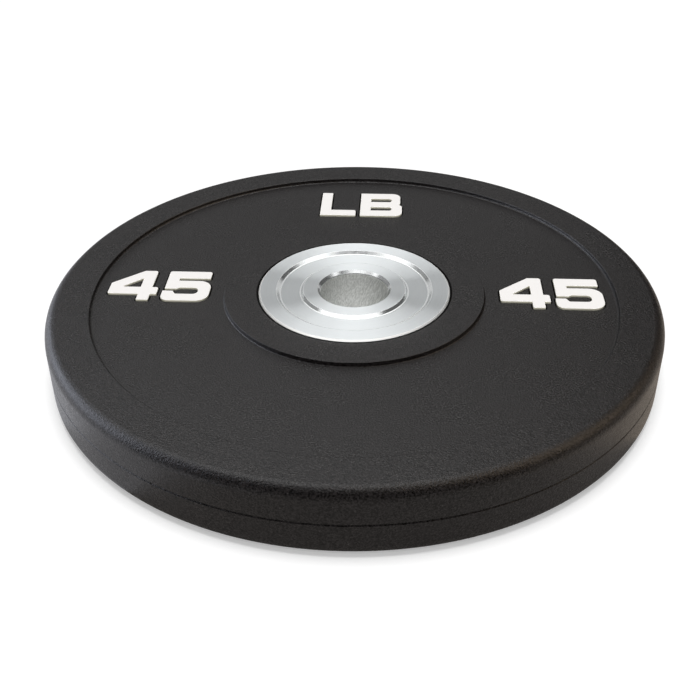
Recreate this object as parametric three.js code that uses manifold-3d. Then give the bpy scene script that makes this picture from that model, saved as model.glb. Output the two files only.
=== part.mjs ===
import * as THREE from "three";
import { mergeVertices } from "three/addons/utils/BufferGeometryUtils.js";
import Module from "manifold-3d";

// A 45 lb bumper plate for an Olympic bar, lying flat on its rear hub face.
// Millimetres, +Z up the plate's axis, origin at the centre of the rear hub face.
// The front and the back are alike: every face piece is made once and used on both.

// Whole plate
const plateRadius = 225;
const rimThickness = 50.1;
const rimRounding = 8;
const rimWidth = 31.7;
const hubProud = 1;

// Face panel between the rim and the hub boss
const panelDepth = 3;
const stepDraft = 0.6;
const stepEdgeRound = 0.7;
const stepBaseRound = 2;
const bossWidth = 25.2;

// Mould parting line round the tread
const partingWidth = 1.6;
const partingDepth = 0.6;

// Steel hub, front and rear flange alike
const hubRadius = 70.9;
const hubEdgeChamfer = 1.1;
const outerRingWidth = 13.2;
const coveWidth = 2.4;
const recessDepth = 2.3;
const innerRingWidth = 10.7;
const innerRingSlope = 1.7;
const boreRadius = 25.3;
const boreChamfer = 2;
const lipHeight = 0.9;
const lipClearance = 0.15;

// Bore sleeve, steel core and urethane keys
const sleeveWall = 4.2;
const coreThickness = 16;
const treadCover = 49;
const keyRadius = 19;
const keyCount = 12;

// Hub screws, from the rear flange through the core into the front flange
const screwCount = 6;
const screwShankRadius = 4;
const screwHeadRadius = 6.5;
const screwHeadHeight = 8;
const screwHeadSunk = 0.6;
const screwThreadDepth = 12;
const screwTipSpace = 0.8;
const screwTipChamfer = 0.8;
const socketAcrossCorners = 6.9;
const socketDepth = 4;

// Clearances and overruns
const seatClearance = 0.1;
const sleeveFit = 0.1;
const threadFit = 0.1;
const castFit = 0.1;
const screwFit = 0.3;
const hubGap = 0.45;
const numeralFit = 0.5;
const cutOverrun = 5;
const mergeDistance = 0.0001;

// Raised numerals and letters
const capHeight = 42.4;
const numeralRaise = 1.1;
const pocketDepth = 2.2;
const strokeWidth = 9;
const barHeight = 10.1;
const numeralGap = 3.7;
const smallRound = 0.7;
const cornerRound = 2;
const markLift = 3.4;
const markOutset = 1;

// Numeral four, with places across as shares of its width and heights as shares of the cap height
const fourWidth = 36.7;
const fourStemLeftShare = 0.628;
const fourDiagonalTopShare = 0.603;
const fourHoleLeftShare = 0.255;
const fourBarBottomShare = 0.194;
const fourShoulderShare = 0.552;
const fourHoleTopShare = 0.732;

// Numeral five, with heights as shares of the cap height
const fiveWidth = 35.5;
const fiveStemInset = 1.1;
const fiveTopBarInset = 1.9;
const fiveTailSlope = 2.3;
const fiveBowlRound = 9.6;
const fiveCounterRound = 3.6;
const fiveFootTopShare = 0.225;
const fiveTailTopShare = 0.322;
const fiveStemBottomShare = 0.393;
const fiveCounterTopShare = 0.435;
const fiveBowlTopShare = 0.675;
const fiveTopBarBottomShare = 0.755;

// Letters L and B
const letterLWidth = 30;
const letterBWidth = 35.5;
const letterBUpperInset = 1.5;
const letterBNotch = 2.6;
const letterBRound = 7;
const letterBCounterRound = 2.4;

// Facets
const bodySegments = 60;
const hubSegments = 48;
const keySegments = 16;
const screwSegments = 16;
const socketSides = 6;
const arcSagitta = 0.22;

// Heights and radii worked out from the sizes above
const plateThickness = rimThickness + 2 * hubProud;
const middle = plateThickness / 2;
const faceHeight = rimThickness / 2;
const hubHeight = plateThickness / 2;
const panelHeight = faceHeight - panelDepth;
const coreHeight = coreThickness / 2;
const rimInnerRadius = plateRadius - rimWidth;
const bossRadius = hubRadius + bossWidth;
const bodyHoleRadius = hubRadius + hubGap;
const coreRadius = plateRadius - treadCover;
const keyCircleRadius = (bodyHoleRadius + coreRadius) / 2;
const sleeveRadius = boreRadius + sleeveWall;
const flangeHeight = hubHeight - coreHeight - seatClearance;
const ringOuterInnerRadius = hubRadius - outerRingWidth;
const floorOuterRadius = ringOuterInnerRadius - coveWidth;
const innerRingRadius = boreRadius + boreChamfer + innerRingWidth;
const floorInnerRadius = innerRingRadius + innerRingSlope;
const screwCircleRadius = (floorOuterRadius + floorInnerRadius) / 2;
const sleeveSpace = hubHeight - boreChamfer - lipHeight;
const screwSeatHeight = hubHeight - recessDepth - screwHeadSunk - screwHeadHeight;
const screwShankLength = screwSeatHeight + coreHeight + screwThreadDepth;
const markRadius = (rimInnerRadius + bossRadius) / 2 + markOutset;

const wasm = await Module();
wasm.setup();

// Booleans

function solidFrom(geometry) {
  const bare = geometry.clone();
  bare.deleteAttribute("normal");
  bare.deleteAttribute("uv");
  const merged = mergeVertices(bare, mergeDistance);
  const vertProperties = new Float32Array(merged.attributes.position.array);
  const triVerts = new Uint32Array(merged.index.array);
  return new wasm.Manifold(new wasm.Mesh({ numProp: 3, vertProperties, triVerts }));
}

function geometryFrom(solid) {
  const { vertProperties, triVerts } = solid.getMesh();
  const geometry = new THREE.BufferGeometry();
  geometry.setAttribute("position", new THREE.BufferAttribute(vertProperties, 3));
  geometry.setIndex(new THREE.BufferAttribute(triVerts, 1));
  geometry.computeVertexNormals();
  return geometry;
}

// Outlines

// Turns a list of [x, y, radius] corners into points, with an arc at each rounded corner.
// An arc never takes more than half of the shorter side that meets at its corner, and it has as
// many steps as keep its chords within the arc sagitta.
function roundedOutline(corners) {
  const points = [];
  corners.forEach(([x, y, radius], index) => {
    const corner = new THREE.Vector2(x, y);
    if (!radius) {
      points.push(corner);
      return;
    }
    const before = corners[(index + corners.length - 1) % corners.length];
    const after = corners[(index + 1) % corners.length];
    const toBefore = new THREE.Vector2(before[0], before[1]).sub(corner);
    const toAfter = new THREE.Vector2(after[0], after[1]).sub(corner);
    const room = Math.min(toBefore.length(), toAfter.length()) / 2;
    toBefore.normalize();
    toAfter.normalize();
    const halfAngle = Math.acos(THREE.MathUtils.clamp(toBefore.dot(toAfter), -1, 1)) / 2;
    const reach = Math.min(radius / Math.tan(halfAngle), room);
    const usedRadius = reach * Math.tan(halfAngle);
    const bisector = toBefore.clone().add(toAfter).normalize();
    const centre = corner.clone().addScaledVector(bisector, usedRadius / Math.sin(halfAngle));
    const start = corner.clone().addScaledVector(toBefore, reach).sub(centre);
    const sweep = (Math.PI - 2 * halfAngle) * Math.sign(toAfter.cross(toBefore));
    const widestStep = 2 * Math.acos(1 - Math.min(arcSagitta / usedRadius, 1));
    const steps = Math.ceil(Math.abs(sweep) / widestStep);
    for (let step = 0; step <= steps; step += 1) {
      const turn = sweep * step / steps;
      points.push(start.clone().rotateAround(new THREE.Vector2(), turn).add(centre));
    }
  });
  return points;
}

// Moves every side of a counterclockwise outline outwards by one distance, with mitred corners.
function offsetOutline(points, distance) {
  return points.map((point, index) => {
    const before = points[(index + points.length - 1) % points.length];
    const after = points[(index + 1) % points.length];
    const sideIn = point.clone().sub(before).normalize();
    const sideOut = after.clone().sub(point).normalize();
    const normalIn = new THREE.Vector2(sideIn.y, -sideIn.x);
    const normalOut = new THREE.Vector2(sideOut.y, -sideOut.x);
    const mitre = normalIn.add(normalOut);
    return point.clone().addScaledVector(mitre, 2 * distance / mitre.lengthSq());
  });
}

function extruded({ outline, holes }, height) {
  const shape = new THREE.Shape(outline);
  shape.holes = holes.map((hole) => new THREE.Path(hole));
  return new THREE.ExtrudeGeometry(shape, { depth: height, bevelEnabled: false });
}

// Round solids

function lathed(corners, segments) {
  const points = roundedOutline(corners);
  points.push(points[0].clone());
  const geometry = new THREE.LatheGeometry(points, segments);
  return geometry.rotateX(Math.PI / 2);
}

function cylinder(radius, fromHeight, toHeight, segments) {
  const height = toHeight - fromHeight;
  const geometry = new THREE.CylinderGeometry(radius, radius, height, segments);
  geometry.rotateX(Math.PI / 2);
  return geometry.translate(0, 0, fromHeight + height / 2);
}

// Places equal copies of a solid round the axis.
function ringOf(solid, radius, count) {
  const copies = [];
  for (let index = 0; index < count; index += 1) {
    const angle = 360 * index / count;
    copies.push(solid.translate([radius, 0, 0]).rotate([0, 0, angle]));
  }
  return copies;
}

// Materials

const blackUrethane = new THREE.MeshStandardMaterial({ color: 0x2c2b2b, roughness: 0.55 });
const whiteUrethane = new THREE.MeshStandardMaterial({ color: 0xf4f2ec, roughness: 0.6 });
const turnedSteel = new THREE.MeshStandardMaterial({ color: 0xc9ccd0, roughness: 0.3, metalness: 1 });
const honedSteel = new THREE.MeshStandardMaterial({ color: 0x9b9893, roughness: 0.45, metalness: 1 });
const rawSteel = new THREE.MeshStandardMaterial({ color: 0x6d6c6a, roughness: 0.6, metalness: 1 });
const blackOxideSteel = new THREE.MeshStandardMaterial({ color: 0x222326, roughness: 0.4, metalness: 0.8 });

// Numerals and letters, each an outline with its holes, drawn from its own lower left corner

function four() {
  const stemLeft = fourWidth * fourStemLeftShare;
  const stemRight = stemLeft + strokeWidth;
  const barBottom = capHeight * fourBarBottomShare;
  const barTop = barBottom + barHeight;
  return {
    width: fourWidth,
    corners: [
      [stemLeft, 0, smallRound],
      [stemRight, 0, smallRound],
      [stemRight, barBottom, 0],
      [fourWidth, barBottom, smallRound],
      [fourWidth, barTop, cornerRound],
      [stemRight, barTop, 0],
      [stemRight, capHeight, cornerRound],
      [fourWidth * fourDiagonalTopShare, capHeight, smallRound],
      [0, capHeight * fourShoulderShare, cornerRound],
      [0, barBottom, cornerRound],
      [stemLeft, barBottom, 0],
    ],
    holes: [[
      [fourWidth * fourHoleLeftShare, barTop, 0],
      [stemLeft, barTop, 0],
      [stemLeft, capHeight * fourHoleTopShare, 0],
    ]],
  };
}

function five() {
  const stemRight = fiveStemInset + strokeWidth;
  const topBarRight = fiveWidth - fiveTopBarInset;
  const counterRight = fiveWidth - strokeWidth;
  const footTop = capHeight * fiveFootTopShare;
  const tailTop = capHeight * fiveTailTopShare;
  const stemBottom = capHeight * fiveStemBottomShare;
  const counterTop = capHeight * fiveCounterTopShare;
  const bowlTop = capHeight * fiveBowlTopShare;
  const topBarBottom = capHeight * fiveTopBarBottomShare;
  return {
    width: fiveWidth,
    corners: [
      [0, 0, fiveBowlRound],
      [fiveWidth, 0, fiveBowlRound],
      [fiveWidth, bowlTop, fiveBowlRound],
      [stemRight, bowlTop, 0],
      [stemRight, topBarBottom, 0],
      [topBarRight, topBarBottom, smallRound],
      [topBarRight, capHeight, cornerRound],
      [fiveStemInset, capHeight, cornerRound],
      [fiveStemInset, stemBottom, smallRound],
      [stemRight, stemBottom, 0],
      [stemRight + fiveTailSlope, counterTop, smallRound],
      [counterRight, counterTop, fiveCounterRound],
      [counterRight, footTop, fiveCounterRound],
      [stemRight, footTop, smallRound],
      [stemRight - fiveTailSlope, tailTop, 0],
      [0, tailTop, smallRound],
    ],
    holes: [],
  };
}

function letterL() {
  return {
    width: letterLWidth,
    corners: [
      [0, 0, smallRound],
      [letterLWidth, 0, smallRound],
      [letterLWidth, barHeight, cornerRound],
      [strokeWidth, barHeight, 0],
      [strokeWidth, capHeight, smallRound],
      [0, capHeight, smallRound],
    ],
    holes: [],
  };
}

function letterB() {
  const upperRight = letterBWidth - letterBUpperInset;
  const waist = capHeight / 2;
  const counterRight = letterBWidth - strokeWidth;
  const counter = (bottom, top) => [
    [strokeWidth, bottom, 0],
    [counterRight, bottom, letterBCounterRound],
    [counterRight, top, letterBCounterRound],
    [strokeWidth, top, 0],
  ];
  return {
    width: letterBWidth,
    corners: [
      [0, 0, smallRound],
      [letterBWidth, 0, letterBRound],
      [letterBWidth, waist - letterBNotch, cornerRound],
      [letterBWidth - letterBNotch, waist, 0],
      [upperRight, waist + letterBNotch, cornerRound],
      [upperRight, capHeight, letterBRound],
      [0, capHeight, smallRound],
    ],
    holes: [
      counter(barHeight, waist - barHeight / 2),
      counter(waist + barHeight / 2, capHeight - barHeight),
    ],
  };
}

// A pair of characters side by side, centred on one place of the face.
function markPair(first, second, centreX, centreY) {
  const pairWidth = first.width + numeralGap + second.width;
  const left = centreX - pairWidth / 2;
  const bottom = centreY - capHeight / 2;
  return [
    { glyph: first, x: left, y: bottom },
    { glyph: second, x: left + first.width + numeralGap, y: bottom },
  ];
}

const leftPair = markPair(four(), five(), -markRadius, markLift);
const rightPair = markPair(four(), five(), markRadius, markLift);
const unitPair = markPair(letterL(), letterB(), 0, markRadius);
const faceMarks = [
  { name: "numeral_4_left", ...leftPair[0] },
  { name: "numeral_5_left", ...leftPair[1] },
  { name: "numeral_4_right", ...rightPair[0] },
  { name: "numeral_5_right", ...rightPair[1] },
  { name: "letter_l", ...unitPair[0] },
  { name: "letter_b", ...unitPair[1] },
];

// The outline of a mark, moved outwards by a clearance, and its holes moved inwards by it.
function markShape(glyph, clearance) {
  return {
    outline: offsetOutline(roundedOutline(glyph.corners), clearance),
    holes: glyph.holes.map((hole) => offsetOutline(roundedOutline(hole), -clearance)),
  };
}

// The raised piece, from the floor of its pocket to its top, with z measured from mid plate.
function markGeometry({ glyph, x, y }) {
  const bottom = panelHeight - pocketDepth + seatClearance;
  const height = panelHeight + numeralRaise - bottom;
  return extruded(markShape(glyph, 0), height).translate(x, y, bottom);
}

// What the body loses so that the raised piece can be set in from above.
function pocketSolid({ glyph, x, y }) {
  const height = pocketDepth + panelDepth + cutOverrun;
  const geometry = extruded(markShape(glyph, numeralFit), height);
  return solidFrom(geometry.translate(x, y, panelHeight - pocketDepth));
}

// Cast urethane body, round the core, with keys through the core's holes

function bodyGeometry() {
  const rimStepFloor = rimInnerRadius - stepDraft;
  const bossStepFloor = bossRadius + stepDraft;
  const cavityHeight = coreHeight + castFit;
  const cavityRadius = coreRadius + castFit;
  const half = [
    [bodyHoleRadius, cavityHeight, 0],
    [cavityRadius, cavityHeight, 0],
  ];
  const face = [
    [bodyHoleRadius, faceHeight, 0],
    [bossRadius, faceHeight, stepEdgeRound],
    [bossStepFloor, panelHeight, stepBaseRound],
    [rimStepFloor, panelHeight, stepBaseRound],
    [rimInnerRadius, faceHeight, stepEdgeRound],
    [plateRadius, faceHeight, rimRounding],
  ];
  const flip = (corners) => corners.map(([x, z, radius]) => [x, -z, radius]);
  const tread = [
    [plateRadius, -partingWidth / 2, 0],
    [plateRadius - partingDepth, 0, 0],
    [plateRadius, partingWidth / 2, 0],
  ];
  const corners = [
    ...flip(face),
    ...tread,
    ...face.toReversed(),
    ...half,
    ...flip(half).toReversed(),
  ];
  const keyHeight = cavityHeight + castFit;
  const key = solidFrom(cylinder(keyRadius - castFit, -keyHeight, keyHeight, keySegments));
  let body = solidFrom(lathed(corners, bodySegments));
  ringOf(key, keyCircleRadius, keyCount).forEach((copy) => {
    body = body.add(copy);
  });
  faceMarks.map(pocketSolid).forEach((pocket) => {
    body = body.subtract(pocket).subtract(pocket.rotate([180, 0, 0]));
  });
  return geometryFrom(body);
}

// Steel core plate inside the casting

function coreGeometry() {
  const holeRadius = sleeveRadius + screwFit;
  const disc = solidFrom(lathed([
    [holeRadius, -coreHeight, 0],
    [coreRadius, -coreHeight, 0],
    [coreRadius, coreHeight, 0],
    [holeRadius, coreHeight, 0],
  ], bodySegments));
  const holeHeight = coreHeight + cutOverrun;
  const keyHole = solidFrom(cylinder(keyRadius, -holeHeight, holeHeight, keySegments));
  const screwHoleRadius = screwShankRadius + screwFit;
  const screwHole = solidFrom(cylinder(screwHoleRadius, -holeHeight, holeHeight, screwSegments));
  const holes = [
    ...ringOf(keyHole, keyCircleRadius, keyCount),
    ...ringOf(screwHole, screwCircleRadius, screwCount),
  ];
  return geometryFrom(holes.reduce((plate, hole) => plate.subtract(hole), disc));
}

// Turned hub flange, with z measured from mid plate towards the face

function flangeSolid() {
  const seat = coreHeight + seatClearance;
  const lipRadius = boreRadius + lipClearance;
  const sleeveHoleRadius = sleeveRadius + sleeveFit;
  const floorHeight = hubHeight - recessDepth;
  return solidFrom(lathed([
    [sleeveHoleRadius, seat, 0],
    [hubRadius, seat, 0],
    [hubRadius, hubHeight - hubEdgeChamfer, 0],
    [hubRadius - hubEdgeChamfer, hubHeight, 0],
    [ringOuterInnerRadius, hubHeight, smallRound],
    [floorOuterRadius, floorHeight, cornerRound],
    [floorInnerRadius, floorHeight, cornerRound],
    [innerRingRadius, hubHeight, smallRound],
    [boreRadius + boreChamfer, hubHeight, 0],
    [lipRadius, hubHeight - boreChamfer, 0],
    [lipRadius, sleeveSpace, 0],
    [sleeveHoleRadius, sleeveSpace, 0],
  ], hubSegments));
}

function frontFlangeGeometry() {
  const threadRadius = screwShankRadius + threadFit;
  const holeTop = coreHeight + screwThreadDepth + screwTipSpace;
  const thread = solidFrom(cylinder(threadRadius, 0, holeTop, screwSegments));
  const threads = ringOf(thread, screwCircleRadius, screwCount);
  return geometryFrom(threads.reduce((flange, hole) => flange.subtract(hole), flangeSolid()));
}

function rearFlangeGeometry() {
  const shankRadius = screwShankRadius + screwFit;
  const headRadius = screwHeadRadius + screwFit;
  const top = hubHeight + cutOverrun;
  const shankHole = solidFrom(cylinder(shankRadius, 0, top, screwSegments));
  const headHole = solidFrom(cylinder(headRadius, screwSeatHeight, top, screwSegments));
  const screwHoles = ringOf(shankHole.add(headHole), screwCircleRadius, screwCount);
  return geometryFrom(screwHoles.reduce((flange, hole) => flange.subtract(hole), flangeSolid()));
}

// Steel sleeve that the bar runs in, held between the lips of the two flanges

function sleeveGeometry() {
  const height = sleeveSpace - seatClearance;
  return lathed([
    [boreRadius, -height, 0],
    [sleeveRadius, -height, 0],
    [sleeveRadius, height, 0],
    [boreRadius, height, 0],
  ], hubSegments);
}

// Socket head screw, with its seat at z = 0 and its shank along +Z

function screwGeometry() {
  const headBottom = -screwHeadHeight;
  const profile = [
    [0, headBottom],
    [screwHeadRadius - screwTipChamfer, headBottom],
    [screwHeadRadius, headBottom + screwTipChamfer],
    [screwHeadRadius, 0],
    [screwShankRadius, 0],
    [screwShankRadius, screwShankLength - screwTipChamfer],
    [screwShankRadius - screwTipChamfer, screwShankLength],
    [0, screwShankLength],
  ];
  const points = profile.map(([radius, height]) => new THREE.Vector2(radius, height));
  const screw = new THREE.LatheGeometry(points, screwSegments).rotateX(Math.PI / 2);
  const socketTop = headBottom + socketDepth;
  const socketRadius = socketAcrossCorners / 2;
  const socket = cylinder(socketRadius, headBottom - cutOverrun, socketTop, socketSides);
  return geometryFrom(solidFrom(screw).subtract(solidFrom(socket)));
}

// Assembly

function named(name, geometry, material) {
  const mesh = new THREE.Mesh(geometry, material);
  mesh.name = name;
  return mesh;
}

// All places below are measured from mid plate, which stands half the thickness above the origin.
const bumperPlate = new THREE.Group();
bumperPlate.position.z = middle;

bumperPlate.add(named("urethane_body", bodyGeometry(), blackUrethane));
bumperPlate.add(named("core_plate", coreGeometry(), rawSteel));
bumperPlate.add(named("hub_sleeve", sleeveGeometry(), honedSteel));
bumperPlate.add(named("front_hub_flange", frontFlangeGeometry(), turnedSteel));

const rearFlange = named("rear_hub_flange", rearFlangeGeometry(), turnedSteel);
rearFlange.rotation.x = Math.PI;
bumperPlate.add(rearFlange);

for (let index = 0; index < screwCount; index += 1) {
  const screw = named(`hub_screw_${index + 1}`, screwGeometry(), blackOxideSteel);
  const angle = 2 * Math.PI * index / screwCount;
  const reach = new THREE.Vector2(screwCircleRadius, 0).rotateAround(new THREE.Vector2(), angle);
  screw.position.set(reach.x, reach.y, -screwSeatHeight - seatClearance);
  bumperPlate.add(screw);
}

for (const mark of faceMarks) {
  bumperPlate.add(named(`front_${mark.name}`, markGeometry(mark), whiteUrethane));
  const backMark = named(`back_${mark.name}`, markGeometry(mark), whiteUrethane);
  backMark.rotation.x = Math.PI;
  bumperPlate.add(backMark);
}

export default bumperPlate;
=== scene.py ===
import math

import bmesh
import bpy
import numpy as np
from mathutils import Matrix, Vector
from mathutils.geometry import delaunay_2d_cdt


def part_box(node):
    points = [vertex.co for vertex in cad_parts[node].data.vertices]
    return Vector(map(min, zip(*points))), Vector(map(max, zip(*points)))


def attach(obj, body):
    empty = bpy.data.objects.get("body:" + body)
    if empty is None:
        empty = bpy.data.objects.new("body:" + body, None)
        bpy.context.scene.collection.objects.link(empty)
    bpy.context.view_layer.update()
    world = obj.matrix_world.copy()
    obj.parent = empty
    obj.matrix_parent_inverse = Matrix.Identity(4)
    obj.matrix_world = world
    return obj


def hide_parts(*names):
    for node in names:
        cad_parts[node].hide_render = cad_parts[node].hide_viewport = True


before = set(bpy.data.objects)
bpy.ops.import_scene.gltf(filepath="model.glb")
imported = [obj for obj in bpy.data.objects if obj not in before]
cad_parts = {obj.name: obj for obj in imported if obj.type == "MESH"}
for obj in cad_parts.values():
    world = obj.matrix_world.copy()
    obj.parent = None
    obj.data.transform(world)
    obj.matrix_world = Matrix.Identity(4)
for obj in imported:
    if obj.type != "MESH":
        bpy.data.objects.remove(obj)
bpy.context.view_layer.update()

MM = 0.001

# Places taken from the solids' boxes
_, body_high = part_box("urethane_body")
hub_low, hub_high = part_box("front_hub_flange")
_, sleeve_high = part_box("hub_sleeve")
_, core_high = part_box("core_plate")

PLATE_RADIUS = body_high.x
RIM_TOP = body_high.z
HUB_RADIUS = hub_high.x
HUB_TOP = hub_high.z
HUB_SEAT = hub_low.z
MIDDLE = HUB_TOP / 2
SLEEVE_RADIUS = sleeve_high.x
SLEEVE_TOP = sleeve_high.z
CORE_RADIUS = core_high.x
CORE_TOP = core_high.z

# Rim, panel and boss of the casting
RIM_WIDTH = 31.7 * MM
RIM_ROUNDING = 8 * MM
PANEL_DEPTH = 3 * MM
STEP_DRAFT = 0.6 * MM
STEP_EDGE_ROUND = 0.7 * MM
STEP_BASE_ROUND = 2 * MM
STEP_FOOT = 3 * STEP_BASE_ROUND
BOSS_WIDTH = 25.2 * MM
BOSS_EDGE_ROUND = 0.3 * MM
BOSS_BASE_ROUND = 0.8 * MM
HUB_GAP = 0.45 * MM
HOLE_EDGE_ROUND = 0.5 * MM
HOLE_EDGE_WIDTH = 1.2 * MM
PARTING_WIDTH = 1.6 * MM
PARTING_DEPTH = 0.6 * MM
PARTING_ROUND = 0.15 * MM

# Turned hub
HUB_EDGE_CHAMFER = 1.1 * MM
OUTER_RING_WIDTH = 13.2 * MM
COVE_WIDTH = 2.4 * MM
RECESS_DEPTH = 2.3 * MM
INNER_RING_WIDTH = 10.7 * MM
INNER_RING_SLOPE = 1.7 * MM
BORE_RADIUS = 25.3 * MM
BORE_CHAMFER = 2 * MM
LIP_HEIGHT = 0.9 * MM
LIP_CLEARANCE = 0.15 * MM
SLEEVE_FIT = 0.1 * MM
CRISP_EDGE = 0.15 * MM
COVE_EDGE_ROUND = 0.5 * MM
COVE_BASE_ROUND = 1.6 * MM
SLOPE_BASE_ROUND = 1.2 * MM
SLOPE_EDGE_ROUND = 0.4 * MM
FLOOR_MARGIN = 0.9 * MM
CUT_MARGIN = 0.35 * MM

# Screws and their holes
SCREW_COUNT = 6
SCREW_CIRCLE = 47.65 * MM
SCREW_SHANK_RADIUS = 4 * MM
SCREW_HEAD_RADIUS = 6.5 * MM
SCREW_HEAD_HEIGHT = 8 * MM
SCREW_HEAD_SUNK = 0.6 * MM
SCREW_THREAD_DEPTH = 12.8 * MM
SCREW_CHAMFER = 0.8 * MM
SCREW_FIT = 0.3 * MM
THREAD_FIT = 0.1 * MM
HOLE_MARGIN = 0.4 * MM
SOCKET_RADIUS = 3.45 * MM
SOCKET_DEPTH = 4 * MM
SOCKET_EDGE = 0.25 * MM
SOCKET_CORNER_ROUND = 0.15 * MM

# Core plate's cavity and the keys that pass through the plate
CAST_FIT = 0.1 * MM
KEY_COUNT = 12
KEY_CIRCLE = 123.8 * MM
KEY_RADIUS = 19 * MM

# Raised marks and their pockets
MARK_GAP = 0.5 * MM
MARK_EDGE_ROUND = 0.3 * MM
POCKET_LIP = 0.65 * MM
MARK_SEAT = 0.1 * MM

# Fineness of the surfaces: steps in a full turn, in a turn of a hole or a screw, in a turn of the
# studio's drape, in a mark's rounded edge and in an arc
TURNS = 360
HOLE_TURNS = 48
DRAPE_TURNS = 60
EDGE_STEPS = 6
ARC_STEPS = 7

# An arc's largest share of the shorter side beside it, and its least radius
ROUND_SHARE = 0.45
LEAST_ROUND = 0.08 * MM

# How far an arc's holding points lie beyond it, and how near points are before they are one
HOLD = 0.04 * MM
WELD = 0.002 * MM
SAME_POINT = 1e-9


# Paths and surfaces

def rounded(corners, closed=True):
    """A path of straight sides joined by arcs, from corners given as (x, y, radius).

    Each arc is a centre plus a radius vector that turns evenly from one side's tangent point
    to the other's. A holding point lies just outside both ends of the arc, so that smooth
    shading keeps the straight stretches flat. An open path keeps its two end corners sharp.
    """
    places = np.array([corner[:2] for corner in corners], float)
    stretches = []
    for index, (_, _, radius) in enumerate(corners):
        place = places[index]
        if not radius or (not closed and index in (0, len(corners) - 1)):
            stretches.append(place[None])
            continue
        before = places[index - 1] - place
        after = places[(index + 1) % len(corners)] - place
        room = ROUND_SHARE * min(np.linalg.norm(before), np.linalg.norm(after))
        before = before / np.linalg.norm(before)
        after = after / np.linalg.norm(after)
        half = math.acos(np.clip(before @ after, -1, 1)) / 2
        reach = min(radius / math.tan(half), room)
        middle = (before + after) / np.linalg.norm(before + after)
        centre = place + middle * reach / math.cos(half)
        start = place + before * reach - centre
        across = np.array([-start[1], start[0]])
        way = math.copysign(1, before[1] * after[0] - before[0] * after[1])
        turn = way * np.linspace(0, math.pi - 2 * half, ARC_STEPS + 1)[:, None]
        arc = centre + start * np.cos(turn) + across * np.sin(turn)
        holds = place + np.array([before, after]) * (reach + HOLD)
        stretches += [holds[:1], arc, holds[1:]]
    return np.concatenate(stretches)


def grown(corners, distance):
    """A closed outline moved outwards, away from the side on its left: each corner goes along
    its mitre, and the radius grows at an outer corner and shrinks at an inner one."""
    places = np.array([corner[:2] for corner in corners], float)
    side = np.roll(places, -1, axis=0) - places
    side = side / np.linalg.norm(side, axis=1, keepdims=True)
    out = np.stack([side[:, 1], -side[:, 0]], axis=1)
    before = np.roll(out, 1, axis=0)
    mitre = out + before
    moved = places + mitre * 2 * distance / (mitre ** 2).sum(axis=1, keepdims=True)
    left_turn = np.sign(before[:, 0] * out[:, 1] - before[:, 1] * out[:, 0])
    radii = [max(corner[2] + turn * distance, LEAST_ROUND)
             for corner, turn in zip(corners, left_turn)]
    return [(x, y, radius) for (x, y), radius in zip(moved, radii)]


def grid_faces(rows, columns, close_rows=False):
    """Quads of a grid of rows by columns, closed across the columns and, if asked, the rows."""
    row = np.arange(rows if close_rows else rows - 1)[:, None]
    column = np.arange(columns)[None]
    next_row = (row + 1) % rows
    next_column = (column + 1) % columns
    corners = [row * columns + column, row * columns + next_column,
               next_row * columns + next_column, next_row * columns + column]
    return np.stack(corners, axis=-1).reshape(-1, 4)


def circle(radius, turns=TURNS, centre=(0, 0)):
    """A closed ring of evenly turned points, counterclockwise."""
    angle = np.arange(turns) * 2 * math.pi / turns
    return radius * np.column_stack([np.cos(angle), np.sin(angle)]) + centre


def lathed(profile, closed=True, turns=TURNS, centre=(0, 0)):
    """A profile of (radius, height) points turned round an upright axis: x is radius times
    cosine, y radius times sine, z the height. The solid lies on the left of the profile."""
    rings = circle(1, turns)
    points = np.concatenate([np.column_stack([radius * rings + centre, np.full(turns, height)])
                             for radius, height in profile])
    return points, grid_faces(len(profile), turns, closed)


def carried(corners, profile):
    """An edge profile of (offset, height) points carried round a closed outline."""
    rings = [rounded(grown(corners, distance)) for distance, _ in profile]
    points = [np.column_stack([ring, np.full(len(ring), height)])
              for ring, (_, height) in zip(rings, profile)]
    return np.concatenate(points), grid_faces(len(points), len(points[0]))


def inside(points, loops):
    """Even-odd test: a point is inside where a ray along x crosses the loops an odd number of
    times."""
    odd = np.zeros(len(points), bool)
    for loop in loops:
        start, end = loop, np.roll(loop, -1, axis=0)
        spans = (start[None, :, 1] > points[:, 1, None]) != (end[None, :, 1] > points[:, 1, None])
        rise = np.where(end[:, 1] == start[:, 1], 1, end[:, 1] - start[:, 1])
        cross = start[:, 0] + (points[:, 1, None] - start[:, 1]) * (end[:, 0] - start[:, 0]) / rise
        odd ^= (spans & (points[:, 0, None] < cross)).sum(axis=1) % 2 == 1
    return odd


def filled(loops, height, upwards=True):
    """A flat face between closed loops, cut into triangles that keep every loop's own points."""
    points = np.concatenate(loops)
    sizes = np.array([len(loop) for loop in loops])
    starts = np.concatenate([[0], np.cumsum(sizes)[:-1]])
    edges = [(start + k, start + (k + 1) % size)
             for start, size in zip(starts, sizes) for k in range(size)]
    flat, _, faces, *_ = delaunay_2d_cdt([Vector(p) for p in points], edges, [], 0, SAME_POINT)
    flat = np.array([tuple(p) for p in flat])
    faces = np.array([face for face in faces if len(face) == 3])
    faces = faces[inside(flat[faces].mean(axis=1), loops)]
    a, b, c = flat[faces[:, 0]], flat[faces[:, 1]], flat[faces[:, 2]]
    area = (b - a)[:, 0] * (c - a)[:, 1] - (b - a)[:, 1] * (c - a)[:, 0]
    turned = (area < 0) if upwards else (area > 0)
    faces[turned] = faces[turned][:, ::-1]
    return np.column_stack([flat, np.full(len(flat), height)]), faces


def turned_over(patch):
    """The same patch on the other face: a half turn about the X axis through mid plate."""
    points, faces = patch
    return points * [1, -1, -1] + [0, 0, 2 * MIDDLE], faces


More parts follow.
